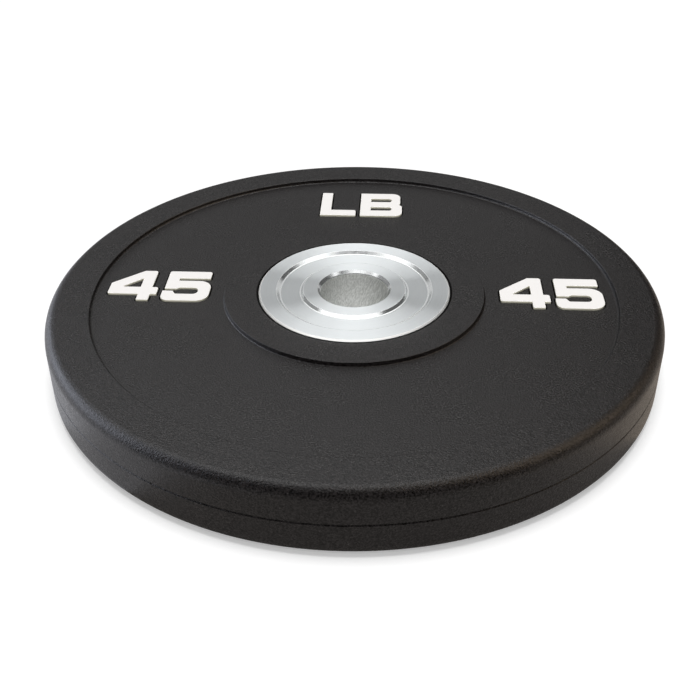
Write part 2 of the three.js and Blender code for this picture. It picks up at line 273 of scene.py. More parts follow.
def mirrored(corners):
    """A profile's corners on the other face, mirrored at mid plate."""
    return [(radius, 2 * MIDDLE - height, rounding) for radius, height, rounding in corners]


def make_piece(name, slot, nodes, *finishes):
    """One smooth piece that replaces some nodes, from (material, patches) pairs: the patches'
    points and faces are put in one mesh and welded where they meet."""
    mesh = bpy.data.meshes.new(name)
    points, faces, material_of = [], [], []
    for index, (material, patches) in enumerate(finishes):
        mesh.materials.append(material)
        for patch_points, patch_faces in patches:
            faces += (patch_faces + len(points)).tolist()
            points += patch_points.tolist()
            material_of += [index] * len(patch_faces)
    mesh.from_pydata(points, [], faces)
    mesh.polygons.foreach_set("material_index", material_of)
    mesh.polygons.foreach_set("use_smooth", [True] * len(faces))
    welded = bmesh.new()
    welded.from_mesh(mesh)
    bmesh.ops.remove_doubles(welded, verts=welded.verts, dist=WELD)
    welded.to_mesh(mesh)
    welded.free()
    piece = bpy.data.objects.new(name, mesh)
    bpy.context.scene.collection.objects.link(piece)
    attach(piece, "root")
    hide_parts(*nodes)
    return piece


# Materials

def linear(hex_colour):
    """An sRGB hex colour as linear red, green, blue and alpha, by the sRGB curve."""
    srgb = [int(hex_colour[i:i + 2], 16) / 255 for i in (1, 3, 5)]
    return [c / 12.92 if c <= 0.04045 else ((c + 0.055) / 1.055) ** 2.4 for c in srgb] + [1]


def new_material(name):
    """A new material, its node tree and its shader."""
    material = bpy.data.materials.new(name)
    material.use_nodes = True
    tree = material.node_tree
    shader = tree.nodes["Principled BSDF"]
    return material, tree, shader


def add(tree, kind, settings=None, **inputs):
    """Adds one node, with its settings and the values or links of its inputs.

    An input goes by its name, with _ for a space, or by its number where names repeat: in a colour
    Mix, i0 is the share of the second colour, and i6 and i7 are the colours.
    """
    node = tree.nodes.new(kind)
    for key, value in (settings or {}).items():
        setattr(node, key, value)
    for key, value in inputs.items():
        socket = node.inputs[int(key[1:]) if key[1:].isdigit() else key.replace("_", " ")]
        if isinstance(value, bpy.types.NodeSocket):
            tree.links.new(value, socket)
        else:
            socket.default_value = value
    return node


def per_metre(size):
    """A pattern's scale for features of one size."""
    return 1 / size


# Size of the rubber's dust and pale specks
RUBBER_DUST = 1.2 * MM


def black_urethane():
    """Cast polyurethane rubber, satin black: the mould's stipple breaks the soft sheen into a fine
    grain with a few pale specks. The stipple is drawn at 1.3 mm, a little over its real 1 mm, so
    that it shows."""
    material, tree, shader = new_material("cast_urethane_satin_black")
    place = add(tree, "ShaderNodeTexCoord").outputs["Object"]
    stipple = add(tree, "ShaderNodeTexNoise", Vector=place, Scale=per_metre(1.3 * MM), Detail=2.0,
                  Roughness=0.7)
    dust = add(tree, "ShaderNodeTexNoise", Vector=place, Scale=per_metre(RUBBER_DUST), Detail=1.0)
    cloud = add(tree, "ShaderNodeTexNoise", Vector=place, Scale=per_metre(45 * MM), Detail=3.0,
                Roughness=0.5)
    grain = add(tree, "ShaderNodeMapRange", Value=dust.outputs["Fac"], From_Min=0.36, From_Max=0.64)
    mottle = add(tree, "ShaderNodeMix", {"data_type": "RGBA"}, i0=grain.outputs[0],
                 i6=linear("#020101"), i7=linear("#221F1F"))
    speck = add(tree, "ShaderNodeMapRange", Value=dust.outputs["Fac"], From_Min=0.76, From_Max=0.8)
    colour = add(tree, "ShaderNodeMix", {"data_type": "RGBA"}, i0=speck.outputs[0],
                 i6=mottle.outputs[2], i7=linear("#3E3C3C"))
    bump = add(tree, "ShaderNodeBump", Strength=1.0, Distance=0.42 * MM,
               Height=stipple.outputs["Fac"])
    cloudy = add(tree, "ShaderNodeMapRange", Value=cloud.outputs["Fac"], From_Min=0.3, From_Max=0.7,
                 To_Max=0.05)
    glints = add(tree, "ShaderNodeMapRange", Value=dust.outputs["Fac"], From_Min=0.36,
                 From_Max=0.64, To_Min=0.37, To_Max=0.25)
    rough = add(tree, "ShaderNodeMath", {"operation": "ADD"}, i0=cloudy.outputs[0],
                i1=glints.outputs[0])
    tree.links.new(colour.outputs[2], shader.inputs["Base Color"])
    tree.links.new(bump.outputs[0], shader.inputs["Normal"])
    tree.links.new(rough.outputs[0], shader.inputs["Roughness"])
    return material


def painted_shade_urethane():
    """The same rubber in the narrow gaps round the marks and the hub, in a near-black, matte copy
    that is
    painted shade for the gaps: it takes the light away and reads as a black line."""
    material, tree, shader = new_material("cast_urethane_painted_shade_recess")
    place = add(tree, "ShaderNodeTexCoord").outputs["Object"]
    dust = add(tree, "ShaderNodeTexNoise", Vector=place, Scale=per_metre(RUBBER_DUST), Detail=1.0)
    # Near-black colours, darker than the casting's rubber: painted shade in the gaps.
    colour = add(tree, "ShaderNodeMix", {"data_type": "RGBA"}, i0=dust.outputs["Fac"],
                 i6=linear("#010101"), i7=linear("#070606"))
    tree.links.new(colour.outputs[2], shader.inputs["Base Color"])
    shader.inputs["Roughness"].default_value = 0.85
    shader.inputs["Specular IOR Level"].default_value = 0.1
    return material


def white_urethane():
    """Pigmented cast urethane, matte: off-white on top, ivory down its sides, and a little uneven
    in colour."""
    material, tree, shader = new_material("cast_urethane_off_white")
    place = add(tree, "ShaderNodeTexCoord").outputs["Object"]
    cloud = add(tree, "ShaderNodeTexNoise", Vector=place, Scale=per_metre(9 * MM), Detail=4.0,
                Roughness=0.6)
    face = add(tree, "ShaderNodeMix", {"data_type": "RGBA"}, i0=cloud.outputs["Fac"],
               i6=linear("#F7F4F1"), i7=linear("#FBF8F6"))
    normal = add(tree, "ShaderNodeNewGeometry").outputs["Normal"]
    upright = add(tree, "ShaderNodeSeparateXYZ", Vector=normal)
    flatness = add(tree, "ShaderNodeMath", {"operation": "ABSOLUTE"}, i0=upright.outputs["Z"])
    colour = add(tree, "ShaderNodeMix", {"data_type": "RGBA"}, i0=flatness.outputs[0],
                 i6=linear("#F5F1D8"), i7=face.outputs[2])
    grain = add(tree, "ShaderNodeTexNoise", Vector=place, Scale=per_metre(0.8 * MM), Detail=2.0)
    bump = add(tree, "ShaderNodeBump", Strength=0.3, Distance=0.03 * MM,
               Height=grain.outputs["Fac"])
    tree.links.new(colour.outputs[2], shader.inputs["Base Color"])
    tree.links.new(bump.outputs[0], shader.inputs["Normal"])
    shader.inputs["Roughness"].default_value = 0.6
    return material


def turned_steel():
    """Lathe-turned stainless steel: circular tool marks stretch every reflection across the
    grooves. The way across them is the normal crossed with the way round the axis."""
    material, tree, shader = new_material("lathe_turned_stainless_steel")
    place = add(tree, "ShaderNodeTexCoord").outputs["Object"]
    normal = add(tree, "ShaderNodeNewGeometry").outputs["Normal"]
    around = add(tree, "ShaderNodeVectorMath", {"operation": "CROSS_PRODUCT"}, i0=(0, 0, 1),
                 i1=place)
    across = add(tree, "ShaderNodeVectorMath", {"operation": "CROSS_PRODUCT"}, i0=normal,
                 i1=around.outputs[0])
    flat = add(tree, "ShaderNodeVectorMath", {"operation": "MULTIPLY"}, i0=place, i1=(1, 1, 0))
    radius = add(tree, "ShaderNodeVectorMath", {"operation": "LENGTH"}, i0=flat.outputs[0])
    marks = add(tree, "ShaderNodeTexNoise", {"noise_dimensions": "1D"}, W=radius.outputs["Value"],
                Scale=per_metre(0.9 * MM), Detail=5.0, Roughness=0.7)
    bump = add(tree, "ShaderNodeBump", Strength=0.25, Distance=0.01 * MM,
               Height=marks.outputs["Fac"])
    rough = add(tree, "ShaderNodeMapRange", Value=marks.outputs["Fac"], From_Min=0.3, From_Max=0.7,
                To_Min=0.42, To_Max=0.5)
    tree.links.new(across.outputs[0], shader.inputs["Tangent"])
    tree.links.new(bump.outputs[0], shader.inputs["Normal"])
    tree.links.new(rough.outputs[0], shader.inputs["Roughness"])
    shader.inputs["Base Color"].default_value = linear("#B6B9BA")
    shader.inputs["Metallic"].default_value = 1
    shader.inputs["Anisotropic"].default_value = 1
    return material


def cut_steel(name, hex_colour, smoothest, roughest):
    """The same steel where a shaped tool cut it without grooves, so that it mirrors alike all
    ways, between two roughnesses."""
    material, tree, shader = new_material(name)
    place = add(tree, "ShaderNodeTexCoord").outputs["Object"]
    cloud = add(tree, "ShaderNodeTexNoise", Vector=place, Scale=per_metre(3 * MM), Detail=3.0)
    rough = add(tree, "ShaderNodeMapRange", Value=cloud.outputs["Fac"], From_Min=0.3, From_Max=0.7,
                To_Min=smoothest, To_Max=roughest)
    tree.links.new(rough.outputs[0], shader.inputs["Roughness"])
    shader.inputs["Base Color"].default_value = linear(hex_colour)
    shader.inputs["Metallic"].default_value = 1
    return material


def honed_steel():
    """Honed bore steel, dull and worn by bar sleeves: slanting scratches over a plain grey. They
    are 0.9 mm wide, coarser than real ones, so that they show, and seven times as long."""
    material, tree, shader = new_material("honed_bore_steel")
    place = add(tree, "ShaderNodeTexCoord").outputs["Object"]
    slanted = add(tree, "ShaderNodeMapping", {"vector_type": "TEXTURE"}, Vector=place,
                  Rotation=(0.35, 0.25, 0.0), Scale=(1.0, 1.0, 7.0))
    scratch = add(tree, "ShaderNodeTexNoise", Vector=slanted.outputs[0],
                  Scale=per_metre(0.9 * MM), Detail=5.0, Roughness=0.7)
    worn = add(tree, "ShaderNodeMapRange", Value=scratch.outputs["Fac"], From_Min=0.38,
               From_Max=0.62)
    colour = add(tree, "ShaderNodeMix", {"data_type": "RGBA"}, i0=worn.outputs[0],
                 i6=linear("#B6B7B5"), i7=linear("#E0E1DF"))
    bump = add(tree, "ShaderNodeBump", Strength=0.8, Distance=0.06 * MM,
               Height=scratch.outputs["Fac"])
    tree.links.new(colour.outputs[2], shader.inputs["Base Color"])
    tree.links.new(bump.outputs[0], shader.inputs["Normal"])
    shader.inputs["Metallic"].default_value = 1
    shader.inputs["Roughness"].default_value = 0.48
    return material


def black_oxide_steel():
    """Alloy steel with a black oxide finish, slightly oily."""
    material, tree, shader = new_material("black_oxide_screw_steel")
    place = add(tree, "ShaderNodeTexCoord").outputs["Object"]
    cloud = add(tree, "ShaderNodeTexNoise", Vector=place, Scale=per_metre(2 * MM), Detail=3.0)
    colour = add(tree, "ShaderNodeMix", {"data_type": "RGBA"}, i0=cloud.outputs["Fac"],
                 i6=linear("#2A2B2E"), i7=linear("#3B3C40"))
    tree.links.new(colour.outputs[2], shader.inputs["Base Color"])
    shader.inputs["Metallic"].default_value = 1
    shader.inputs["Roughness"].default_value = 0.42
    return material


def raw_steel():
    """Hot-rolled plate as it leaves the mill: blue-grey scale with brown patches."""
    material, tree, shader = new_material("hot_rolled_steel_plate")
    place = add(tree, "ShaderNodeTexCoord").outputs["Object"]
    scale = add(tree, "ShaderNodeTexNoise", Vector=place, Scale=per_metre(20 * MM), Detail=6.0)
    colour = add(tree, "ShaderNodeMix", {"data_type": "RGBA"}, i0=scale.outputs["Fac"],
                 i6=linear("#55585C"), i7=linear("#6B5D50"))
    tree.links.new(colour.outputs[2], shader.inputs["Base Color"])
    shader.inputs["Metallic"].default_value = 0.7
    shader.inputs["Roughness"].default_value = 0.6
    return material


# Numerals and letters as (x, y, radius) corner lists inside the solid's own box. The shares of
# its width and height are given.

STROKE = 9 * MM
BAR = 10.1 * MM
SMALL_ROUND = 0.7 * MM
CORNER_ROUND = 2 * MM
SHARP_ROUND = 0.3 * MM


def four(width, height):
    """The numeral four: a stem, a bar through it and a slanting shoulder, with a three-cornered
    hole."""
    stem_left, shoulder_top = 0.628 * width, 0.603 * width
    stem_right = stem_left + STROKE
    bar_bottom, shoulder_foot = 0.194 * height, 0.552 * height
    bar_top = bar_bottom + BAR
    hole_left, hole_top = 0.255 * width, 0.732 * height
    outer = [(stem_left, 0, SMALL_ROUND), (stem_right, 0, SMALL_ROUND),
             (stem_right, bar_bottom, SHARP_ROUND), (width, bar_bottom, SMALL_ROUND),
             (width, bar_top, CORNER_ROUND), (stem_right, bar_top, SHARP_ROUND),
             (stem_right, height, CORNER_ROUND), (shoulder_top, height, SMALL_ROUND),
             (0, shoulder_foot, CORNER_ROUND), (0, bar_bottom, CORNER_ROUND),
             (stem_left, bar_bottom, SHARP_ROUND)]
    hole = [(stem_left, bar_top, SHARP_ROUND), (hole_left, bar_top, SHARP_ROUND),
            (stem_left, hole_top, SHARP_ROUND)]
    return [outer, hole]


def five(width, height):
    """The numeral five: a flag bar, a short stem and a square bowl that is open to the left."""
    stem_left = 1.1 * MM
    stem_right = stem_left + STROKE
    bar_right = width - 1.9 * MM
    counter_right = width - STROKE
    slope = 2.3 * MM
    bowl = 9.6 * MM
    counter = 3.6 * MM
    foot_top, tail_top = 0.225 * height, 0.322 * height
    stem_bottom, counter_top = 0.393 * height, 0.435 * height
    bowl_top, bar_bottom = 0.675 * height, 0.755 * height
    return [[(0, 0, bowl), (width, 0, bowl), (width, bowl_top, bowl),
             (stem_right, bowl_top, SHARP_ROUND), (stem_right, bar_bottom, SHARP_ROUND),
             (bar_right, bar_bottom, SMALL_ROUND), (bar_right, height, CORNER_ROUND),
             (stem_left, height, CORNER_ROUND), (stem_left, stem_bottom, SMALL_ROUND),
             (stem_right, stem_bottom, SHARP_ROUND), (stem_right + slope, counter_top, SMALL_ROUND),
             (counter_right, counter_top, counter), (counter_right, foot_top, counter),
             (stem_right, foot_top, SMALL_ROUND), (stem_right - slope, tail_top, SHARP_ROUND),
             (0, tail_top, SMALL_ROUND)]]


def letter_l(width, height):
    """The letter L: a stem on a foot."""
    return [[(0, 0, SMALL_ROUND), (width, 0, SMALL_ROUND), (width, BAR, CORNER_ROUND),
             (STROKE, BAR, SHARP_ROUND), (STROKE, height, SMALL_ROUND), (0, height, SMALL_ROUND)]]


def letter_b(width, height):
    """The letter B: a stem with two square bowls, each round a slot."""
    notch = 2.6 * MM
    bowl = 7 * MM
    slot_round = 2.4 * MM
    upper_right = width - 1.5 * MM
    waist = height / 2
    slot_right = width - STROKE
    outer = [(0, 0, SMALL_ROUND), (width, 0, bowl), (width, waist - notch, CORNER_ROUND),
             (width - notch, waist, SHARP_ROUND), (upper_right, waist + notch, CORNER_ROUND),
             (upper_right, height, bowl), (0, height, SMALL_ROUND)]
    slots = [[(STROKE, top, SHARP_ROUND), (slot_right, top, slot_round),
              (slot_right, bottom, slot_round), (STROKE, bottom, SHARP_ROUND)]
             for bottom, top in ((BAR, waist - BAR / 2), (waist + BAR / 2, height - BAR))]
    return [outer, *slots]


GLYPHS = {"numeral_4_left": four, "numeral_5_left": five, "numeral_4_right": four,
          "numeral_5_right": five, "letter_l": letter_l, "letter_b": letter_b}


def mark_outlines(name):
    """A front mark's corner lists in place: its outline counterclockwise, its holes clockwise."""
    low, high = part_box(f"front_{name}")
    shape = GLYPHS[name](high.x - low.x, high.y - low.y)
    return [[(x + low.x, y + low.y, radius) for x, y, radius in loop] for loop in shape]


def mark_patches(name):
    """A raised mark: a straight side, a rounded top edge and a flat top, closed underneath."""
    low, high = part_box(f"front_{name}")
    turn = np.linspace(0, math.pi / 2, EDGE_STEPS)
    edge = np.column_stack([MARK_EDGE_ROUND * (np.cos(turn) - 1),
                            high.z - MARK_EDGE_ROUND * (1 - np.sin(turn))])
    profile = [(0, low.z), (0, high.z - MARK_EDGE_ROUND - HOLD), *edge,
               (-MARK_EDGE_ROUND - HOLD, high.z)]
    outlines = mark_outlines(name)
    bases = [rounded(grown(outline, profile[0][0])) for outline in outlines]
    tops = [rounded(grown(outline, profile[-1][0])) for outline in outlines]
    sides = [carried(outline, profile) for outline in outlines]
    return [*sides, filled(tops, high.z), filled(bases, low.z, upwards=False)]


# Body casting

def pocket_patches(name, floor):
    """A mark's pocket: a flat bottom and a straight side that rolls over into the panel floor.

    Returns the patches and the loops at which the panel floor meets the pocket.
    """
    low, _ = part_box(f"front_{name}")
    bottom = low.z - MARK_SEAT
    turn = np.linspace(math.pi / 2, 0, EDGE_STEPS)
    lip = np.column_stack([MARK_GAP + POCKET_LIP * (1 - np.cos(turn)),
                           floor - POCKET_LIP * (1 - np.sin(turn))])
    profile = [(MARK_GAP + POCKET_LIP + HOLD, floor), *lip,
               (MARK_GAP, floor - POCKET_LIP - HOLD), (MARK_GAP, bottom)]
    outlines = mark_outlines(name)
    mouths = [rounded(grown(outline, profile[0][0])) for outline in outlines]
    feet = [rounded(grown(outline, profile[-1][0])) for outline in outlines]
    sides = [carried(outline, profile) for outline in outlines]
    return [*sides, filled(feet, bottom)], mouths


def body_patches():
    """The casting as patches of two looks, its faces and its narrow recesses, which carry painted
    shade:
    a closed profile turned round the axis, apart from the two panel floors, which are flat rings
    cut out round the pockets of the marks."""
    floor = RIM_TOP - PANEL_DEPTH
    rim_inner = PLATE_RADIUS - RIM_WIDTH
    boss = HUB_RADIUS + BOSS_WIDTH
    hole = HUB_RADIUS + HUB_GAP
    floor_outer = rim_inner - STEP_DRAFT - STEP_FOOT
    floor_inner = boss + STEP_DRAFT + STEP_FOOT
    rim = [(floor_outer, floor, 0), (rim_inner - STEP_DRAFT, floor, STEP_BASE_ROUND),
           (rim_inner, RIM_TOP, STEP_EDGE_ROUND), (PLATE_RADIUS, RIM_TOP, RIM_ROUNDING)]
    parting = [(PLATE_RADIUS, MIDDLE - PARTING_WIDTH / 2, PARTING_ROUND),
               (PLATE_RADIUS - PARTING_DEPTH, MIDDLE, PARTING_ROUND),
               (PLATE_RADIUS, MIDDLE + PARTING_WIDTH / 2, PARTING_ROUND)]
    cavity_top = CORE_TOP + CAST_FIT
    cavity_bottom = 2 * MIDDLE - cavity_top
    cavity_radius = CORE_RADIUS + CAST_FIT
    cavity_mouth = hole + HOLE_MARGIN
    hole_edge = [(cavity_mouth, cavity_top, 0), (hole, cavity_top, CRISP_EDGE),
                 (hole, RIM_TOP, HOLE_EDGE_ROUND), (hole + HOLE_EDGE_WIDTH, RIM_TOP, 0)]
    inner = [(hole + HOLE_EDGE_WIDTH, RIM_TOP, 0), (boss, RIM_TOP, BOSS_EDGE_ROUND),
             (boss + STEP_DRAFT, floor, BOSS_BASE_ROUND), (floor_inner, floor, 0)]
    cavity_edge = cavity_radius - HOLE_MARGIN
    edge = [(cavity_edge, cavity_top, 0), (cavity_radius, cavity_top, CRISP_EDGE),
            (cavity_radius, cavity_bottom, CRISP_EDGE), (cavity_edge, cavity_bottom, 0)]
    tread = rounded([*mirrored(rim), *parting, *rim[::-1]], closed=False)
    boss_edge = rounded(inner[::-1], closed=False)
    cavity_wall = rounded(edge, closed=False)
    key_radius = KEY_RADIUS - CAST_FIT
    key_wall = np.array([(key_radius, cavity_bottom), (key_radius, cavity_top)])
    key_places = circle(KEY_CIRCLE, KEY_COUNT)
    keys = [lathed(key_wall, False, HOLE_TURNS, place) for place in key_places]
    key_loops = [circle(key_radius, HOLE_TURNS, place) for place in key_places]
    roof = filled([circle(cavity_mouth), circle(cavity_edge), *key_loops], cavity_top,
                  upwards=False)
    pockets, mouths = [], [circle(floor_outer), circle(floor_inner)]
    for name in GLYPHS:
        sides, rings = pocket_patches(name, floor)
        pockets += sides
        mouths += rings
    face = [filled(mouths, floor), lathed(boss_edge, False), roof]
    recesses = [*pockets, lathed(rounded(hole_edge[::-1], closed=False), False)]
    faces = [lathed(tread, False), lathed(cavity_wall, False), *keys, *face,
             *map(turned_over, face)]
    return faces, [*recesses, *map(turned_over, recesses)]


# Steel hub

def flange_patches(hole_profile):
    """A turned flange as patches of three finishes: its grooved flat faces, its form-cut slopes and
    its broken outer edge, whose lighter colour is a painted highlight. Its closed section is cut at
    the recessed floor and the seat, which are flat rings with the screw holes left out."""
    top, seat = HUB_TOP, HUB_SEAT
    ring_inner = HUB_RADIUS - OUTER_RING_WIDTH
    cove_inner = ring_inner - COVE_WIDTH
    inner_ring = BORE_RADIUS + BORE_CHAMFER + INNER_RING_WIDTH
    slope_outer = inner_ring + INNER_RING_SLOPE
    floor = top - RECESS_DEPTH
    floor_outer = cove_inner - FLOOR_MARGIN
    floor_inner = slope_outer + FLOOR_MARGIN
    lip = BORE_RADIUS + LIP_CLEARANCE
    lip_bottom = top - BORE_CHAMFER - LIP_HEIGHT
    sleeve_hole = SLEEVE_RADIUS + SLEEVE_FIT
    seat_inner = sleeve_hole + FLOOR_MARGIN
    seat_outer = HUB_RADIUS - FLOOR_MARGIN
    chamfer_start = HUB_RADIUS - HUB_EDGE_CHAMFER - CRISP_EDGE
    bore_start = BORE_RADIUS + BORE_CHAMFER + CRISP_EDGE
    rim_edge = rounded([
        (seat_outer, seat, 0), (HUB_RADIUS, seat, 2 * CRISP_EDGE),
        (HUB_RADIUS, top - HUB_EDGE_CHAMFER, CRISP_EDGE),
        (HUB_RADIUS - HUB_EDGE_CHAMFER, top, CRISP_EDGE), (chamfer_start, top, 0)], closed=False)
    cove_start = ring_inner + CUT_MARGIN
    slope_end = inner_ring - CUT_MARGIN
    outer_ring = np.array([(chamfer_start, top), (cove_start, top)])
    cove = rounded([
        (cove_start, top, 0), (ring_inner, top, COVE_EDGE_ROUND),
        (cove_inner, floor, COVE_BASE_ROUND), (floor_outer, floor, 0)], closed=False)
    slope = rounded([
        (floor_inner, floor, 0), (slope_outer, floor, SLOPE_BASE_ROUND),
        (inner_ring, top, SLOPE_EDGE_ROUND), (slope_end, top, 0)], closed=False)
    inner_face = np.array([(slope_end, top), (bore_start, top)])
    bore_edge = rounded([
        (bore_start, top, 0), (BORE_RADIUS + BORE_CHAMFER, top, CRISP_EDGE),
        (lip, top - BORE_CHAMFER, CRISP_EDGE), (lip, lip_bottom, CRISP_EDGE),
        (sleeve_hole, lip_bottom, CRISP_EDGE), (sleeve_hole, seat, CRISP_EDGE),
        (seat_inner, seat, 0)], closed=False)
    places = circle(SCREW_CIRCLE, SCREW_COUNT)
    holes = [lathed(hole_profile, False, HOLE_TURNS, place) for place in places]
    (mouth, mouth_height), (foot, foot_height) = hole_profile[0], hole_profile[-1]
    floor_loops = [circle(floor_outer), circle(floor_inner)]
    seat_loops = [circle(seat_outer), circle(seat_inner)]
    if mouth_height == floor:
        floor_loops += [circle(mouth, HOLE_TURNS, place) for place in places]
    if foot_height == seat:
        seat_loops += [circle(foot, HOLE_TURNS, place) for place in places]
    turned = [lathed(outer_ring, False), lathed(inner_face, False), *holes,
              filled(floor_loops, floor), filled(seat_loops, seat, upwards=False)]
    form_cut = [lathed(edge, False) for edge in (cove, slope, bore_edge)]
    return turned, form_cut, [lathed(rim_edge, False)]


def threaded_hole():
    """A blind threaded hole, from its closed end inside the flange down to the seat."""
    end = HUB_SEAT + SCREW_THREAD_DEPTH
    radius = SCREW_SHANK_RADIUS + THREAD_FIT
    return rounded([
        (0, end, 0), (radius, end, CRISP_EDGE), (radius, HUB_SEAT, CRISP_EDGE),
        (radius + HOLE_MARGIN, HUB_SEAT, 0)], closed=False)


def counterbore():
    """A stepped hole for a sunk screw head, from the recessed floor down to the seat."""
    floor = HUB_TOP - RECESS_DEPTH
    head_seat = floor - SCREW_HEAD_SUNK - SCREW_HEAD_HEIGHT
    head = SCREW_HEAD_RADIUS + SCREW_FIT
    shank = SCREW_SHANK_RADIUS + SCREW_FIT
    return rounded([
        (head + HOLE_MARGIN, floor, 0), (head, floor, CRISP_EDGE),
        (head, head_seat, CRISP_EDGE), (shank, head_seat, CRISP_EDGE),
        (shank, HUB_SEAT, CRISP_EDGE), (shank + HOLE_MARGIN, HUB_SEAT, 0)], closed=False)


def sleeve_profile():
    """The sleeve's closed section: a plain tube with its edges broken."""
    low, high = 2 * MIDDLE - SLEEVE_TOP, SLEEVE_TOP
    return rounded([(BORE_RADIUS, low, CRISP_EDGE), (SLEEVE_RADIUS, low, CRISP_EDGE),
                    (SLEEVE_RADIUS, high, CRISP_EDGE), (BORE_RADIUS, high, CRISP_EDGE)])


def screw_patches(node):
    """A socket head screw with its head at the bottom: a turned body and a six-sided socket."""
    low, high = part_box(node)
    centre = ((low.x + high.x) / 2, (low.y + high.y) / 2)
    head_top = low.z + SCREW_HEAD_HEIGHT
    mouth = SCREW_HEAD_RADIUS - 2 * SCREW_CHAMFER
    section = rounded([
        (mouth, low.z, 0), (SCREW_HEAD_RADIUS - SCREW_CHAMFER, low.z, 2 * CRISP_EDGE),
        (SCREW_HEAD_RADIUS, low.z + SCREW_CHAMFER, 2 * CRISP_EDGE),
        (SCREW_HEAD_RADIUS, head_top, CRISP_EDGE), (SCREW_SHANK_RADIUS, head_top, CRISP_EDGE),
        (SCREW_SHANK_RADIUS, high.z - SCREW_CHAMFER, CRISP_EDGE),
        (SCREW_SHANK_RADIUS - SCREW_CHAMFER, high.z, CRISP_EDGE), (0, high.z, 0)], closed=False)
    hexagon = [(x, y, SOCKET_CORNER_ROUND) for x, y in circle(SOCKET_RADIUS, 6, centre)]
    edge = SOCKET_EDGE
    profile = [(0, low.z + SOCKET_DEPTH), (0, low.z + edge), (edge, low.z)]
    mouth_loops = [circle(mouth, HOLE_TURNS, centre), rounded(grown(hexagon, edge))]
    return [lathed(section, False, HOLE_TURNS, centre), carried(hexagon, profile),
            filled(mouth_loops, low.z, upwards=False),
            filled([rounded(grown(hexagon, 0))], low.z + SOCKET_DEPTH, upwards=False)]


# All pieces

black = black_urethane()
painted_shade_black = painted_shade_urethane()
white = white_urethane()
steel = turned_steel()
# The broken edge's steel is lighter than the turned steel: a painted highlight, over its own even
# roughness.
bright = cut_steel("broken_steel_edge_painted_highlight", "#C9C9C7", 0.5, 0.56)
formed = cut_steel("form_cut_steel", "#B9BBBB", 0.18, 0.24)
honed = honed_steel()
oxide = black_oxide_steel()
mill_scale = raw_steel()

# The second look is painted shade on the narrow recesses round the marks and the hub.
casting_finish_and_shade = (black, painted_shade_black)
body = make_piece("body_casting", "black_urethane", ["urethane_body"],
                  *zip(casting_finish_and_shade, body_patches()))
for glyph in GLYPHS:
    front_mark = mark_patches(glyph)
    back_mark = [turned_over(patch) for patch in front_mark]
    make_piece(f"front_{glyph}_cast", "white_urethane", [f"front_{glyph}"], (white, front_mark))
    make_piece(f"back_{glyph}_cast", "white_urethane", [f"back_{glyph}"], (white, back_mark))

flange_finishes_and_highlight = (steel, formed, bright)
front_faces = flange_patches(threaded_hole())
front_flange = make_piece("front_flange_turned", "hub_steel", ["front_hub_flange"],
                          *zip(flange_finishes_and_highlight, front_faces))
rear_faces = [[turned_over(patch) for patch in group] for group in flange_patches(counterbore())]
rear_flange = make_piece("rear_flange_turned", "hub_steel", ["rear_hub_flange"],
                         *zip(flange_finishes_and_highlight, rear_faces))
sleeve = make_piece("sleeve_honed", "sleeve_steel", ["hub_sleeve"],
                    (honed, [lathed(sleeve_profile())]))
hub = [front_flange, rear_flange, sleeve]
for index in range(SCREW_COUNT):
    node = f"hub_screw_{index + 1}"
    make_piece(f"{node}_socket_head", "screw_steel", [node], (oxide, screw_patches(node)))

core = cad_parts["core_plate"]
core.data.materials.clear()
core.data.materials.append(mill_scale)


# Camera, fitted to the photograph's rim, hub and seam: its lens, its place and its angles in
# degrees. The sensor's width is in millimetres, as Blender takes it.

FOCAL_PIXELS = 1039.5
FRAME_PIXELS = 700
SENSOR_WIDTH = 36
CAMERA_DISTANCE = 800.49 * MM
CAMERA_ELEVATION = 33.838
CAMERA_AZIMUTH = 2.6
CAMERA_YAW = -0.2444
CAMERA_TILT = -0.2709
CAMERA_ROLL = -0.1782
AIM_HEIGHT = 1 * MM


def make_camera():
    """A camera on a sphere round the plate's foot, aimed at it, then yawed, tilted and rolled a
    little."""
    elevation, azimuth = math.radians(CAMERA_ELEVATION), math.radians(CAMERA_AZIMUTH)
    away = Vector((math.sin(azimuth) * math.cos(elevation),
                   -math.cos(azimuth) * math.cos(elevation), math.sin(elevation)))
    ahead = -away
    right = ahead.cross(Vector((0, 0, 1))).normalized()
    up = right.cross(ahead)
    yaw, tilt, roll = (math.radians(a) for a in (CAMERA_YAW, CAMERA_TILT, CAMERA_ROLL))
    ahead, right = (ahead * math.cos(yaw) + right * math.sin(yaw),
                    right * math.cos(yaw) - ahead * math.sin(yaw))
    ahead, up = (ahead * math.cos(tilt) + up * math.sin(tilt),
                 up * math.cos(tilt) - ahead * math.sin(tilt))
    right, up = (right * math.cos(roll) + up * math.sin(roll),
                 up * math.cos(roll) - right * math.sin(roll))
    data = bpy.data.cameras.new("camera")
    data.sensor_width = SENSOR_WIDTH
    data.lens = FOCAL_PIXELS / FRAME_PIXELS * SENSOR_WIDTH
    camera = bpy.data.objects.new("camera", data)
    place = away * CAMERA_DISTANCE + Vector((0, 0, AIM_HEIGHT))
    turn = Matrix((right, up, -ahead)).transposed().to_4x4()
    camera.matrix_world = Matrix.Translation(place) @ turn
    bpy.context.scene.collection.objects.link(camera)
    bpy.context.scene.camera = camera


# Studio, in metres, with levels where 1 is white

FLOOR_SIZE = 12
DRAPE_RADIUS = 3
DRAPE_TOP = 9
CLOTH_LIFT = 0.3 * MM
WORLD_LEVEL = 0.2
PAPER_LEVEL = 0.8
PAPER_GLOW = 0.25

NEUTRAL = "#FFFFFF"
COOL = "#ECF1FF"
PALE_COOL = "#EEF3FF"
WARM = "#FFE6C8"

